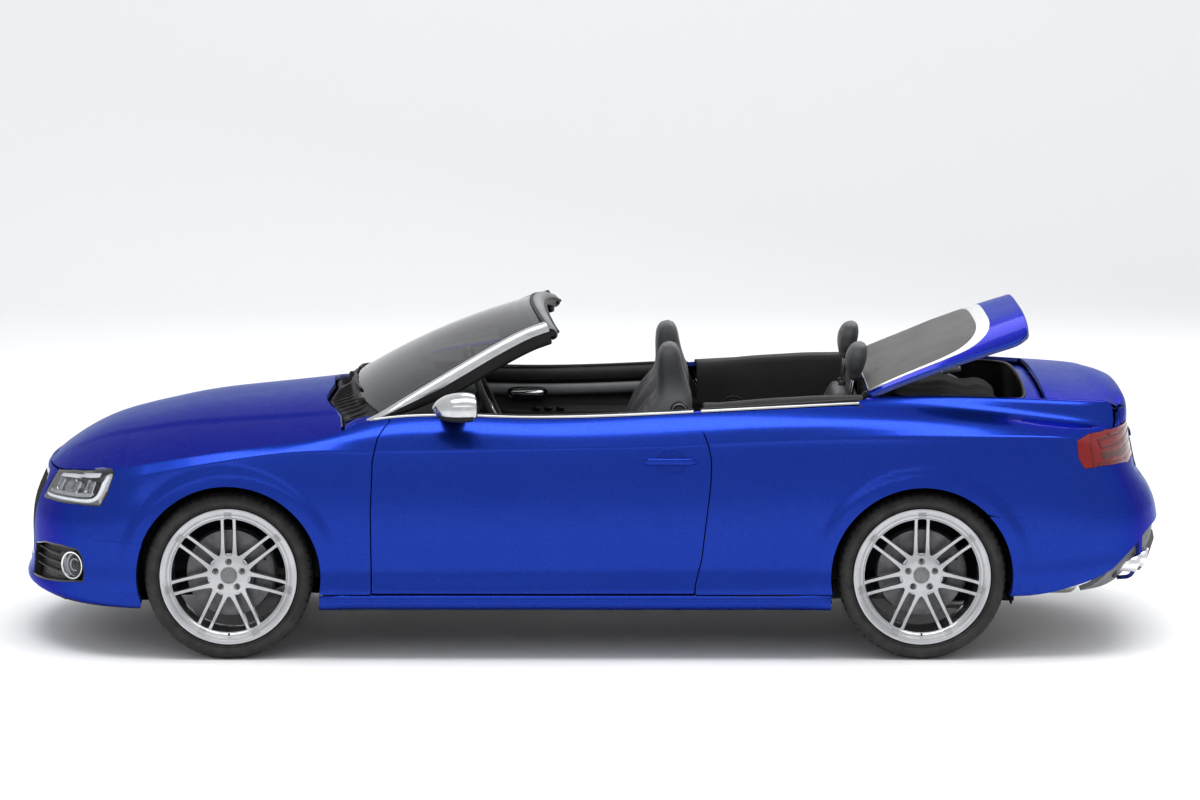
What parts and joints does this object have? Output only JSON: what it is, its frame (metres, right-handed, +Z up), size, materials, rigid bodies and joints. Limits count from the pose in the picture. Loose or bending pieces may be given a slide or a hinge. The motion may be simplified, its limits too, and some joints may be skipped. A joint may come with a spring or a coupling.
{
  "type": "convertible car",
  "caption": "Open four-seat convertible car with steerable wheels, opening doors, bonnet, boot lid and a part-raised roof-compartment lid.",
  "frame": {"origin": "on the ground under the middle of the bounding box", "axes": "+Z up, -X forward out of the nose, -Y towards the car's left side"},
  "size_m": [4.6363, 2.08, 1.337],
  "materials": {
    "black_leather": "stitched",
    "black_trim": "gloss",
    "bright_steel": "brushed",
    "cabin_plastic": "soft grain",
    "cast_metal": "as cast",
    "clear_glass": "clear",
    "disc_iron": "ground face",
    "lamp_glass": "clear",
    "paint": "metallic cobalt blue, clear coated",
    "red_lens": "clear over red",
    "roof_cloth": "woven acrylic",
    "satin_trim": "satin",
    "tyre_rubber": "moulded",
    "underbody": "matte sealant",
    "wheel_alloy": "silver lacquer"
  },
  "bodies": {
    "car_body": {"centre_console": "cabin_plastic", "dashboard": "cabin_plastic", "engine_block": "cast_metal", "exhaust": "bright_steel", "floor_pan": "underbody", "folded_soft_top": "roof_cloth", "front_bumper": "paint", "front_fenders": "paint", "front_grille": "black_trim", "front_seats": "black_leather", "front_subframe": "cast_metal", "headlights": "lamp_glass", "quarter_panels": "paint", "rear_axle": "cast_metal", "rear_bumper": "paint", "rear_seats": "black_leather", "rear_side_panels": "cabin_plastic", "sills": "underbody", "steering_column": "cabin_plastic", "tail_lights": "red_lens", "wheel_liners": "underbody", "windscreen_frame": "satin_trim", "windscreen_glass": "clear_glass"},
    "left_door": {"left_door": "paint", "left_mirror": "satin_trim"},
    "right_door": {"right_door": "paint", "right_mirror": "satin_trim"},
    "bonnet": {"bonnet": "paint"},
    "boot_lid": {"boot_lid": "paint"},
    "roof_compartment_lid": {"roof_compartment_lid": "paint"},
    "steering_wheel": {"steering_wheel": "black_leather"},
    "left_knuckle": {"left_knuckle": "cast_metal"},
    "right_knuckle": {"right_knuckle": "cast_metal"},
    "front_left_wheel": {"front_left_tyre": "tyre_rubber", "front_left_rim": "wheel_alloy", "front_left_brake_disc": "disc_iron"},
    "front_right_wheel": {"front_right_tyre": "tyre_rubber", "front_right_rim": "wheel_alloy", "front_right_brake_disc": "disc_iron"},
    "rear_left_wheel": {"rear_left_tyre": "tyre_rubber", "rear_left_rim": "wheel_alloy", "rear_left_brake_disc": "disc_iron"},
    "rear_right_wheel": {"rear_right_tyre": "tyre_rubber", "rear_right_rim": "wheel_alloy", "rear_right_brake_disc": "disc_iron"}
  },
  "joints": [
    {"name": "left_door_hinge", "type": "hinge", "parent": "car_body", "child": "left_door", "pos_m": [-0.824, -0.893, 0.6], "axis": [0, 0, -1], "range_deg": [0, 65]},
    {"name": "right_door_hinge", "type": "hinge", "parent": "car_body", "child": "right_door", "pos_m": [-0.824, 0.893, 0.6], "axis": [0, 0, 1], "range_deg": [0, 65]},
    {"name": "bonnet_hinge", "type": "hinge", "parent": "car_body", "child": "bonnet", "pos_m": [-0.982, 0, 1.034], "axis": [0, 1, 0], "range_deg": [0, 48]},
    {"name": "boot_lid_hinge", "type": "hinge", "parent": "car_body", "child": "boot_lid", "pos_m": [1.812, 0, 1.045], "axis": [0, -1, 0], "range_deg": [0, 75]},
    {"name": "roof_lid_hinge", "type": "hinge", "parent": "car_body", "child": "roof_compartment_lid", "pos_m": [1.105, 0, 1.035], "axis": [0, -1, 0], "range_deg": [-22, 35]},
    {"name": "left_steer", "type": "hinge", "parent": "car_body", "child": "left_knuckle", "pos_m": [-1.44, -0.71, 0.3335], "axis": [0, 0, 1], "range_deg": [-34, 34]},
    {"name": "right_steer", "type": "hinge", "parent": "car_body", "child": "right_knuckle", "pos_m": [-1.44, 0.71, 0.3335], "axis": [0, 0, 1], "range_deg": [-34, 34]},
    {"name": "steering_wheel_turn", "type": "hinge", "parent": "car_body", "child": "steering_wheel", "pos_m": [-0.4, -0.37, 0.925], "axis": [0.9135, 0, 0.4067], "range_deg": [-510, 510]},
    {"name": "front_left_roll", "type": "hinge", "parent": "left_knuckle", "child": "front_left_wheel", "pos_m": [-1.44, -0.785, 0.3335], "axis": [0, 1, 0], "continuous": true},
    {"name": "front_right_roll", "type": "hinge", "parent": "right_knuckle", "child": "front_right_wheel", "pos_m": [-1.44, 0.785, 0.3335], "axis": [0, 1, 0], "continuous": true},
    {"name": "rear_left_roll", "type": "hinge", "parent": "car_body", "child": "rear_left_wheel", "pos_m": [1.311, -0.778, 0.3335], "axis": [0, 1, 0], "continuous": true},
    {"name": "rear_right_roll", "type": "hinge", "parent": "car_body", "child": "rear_right_wheel", "pos_m": [1.311, 0.778, 0.3335], "axis": [0, 1, 0], "continuous": true}
  ],
  "couplings": [
    {"joint": "right_steer", "follows": "left_steer", "ratio": 1},
    {"joint": "steering_wheel_turn", "follows": "left_steer", "ratio": 15}
  ]
}
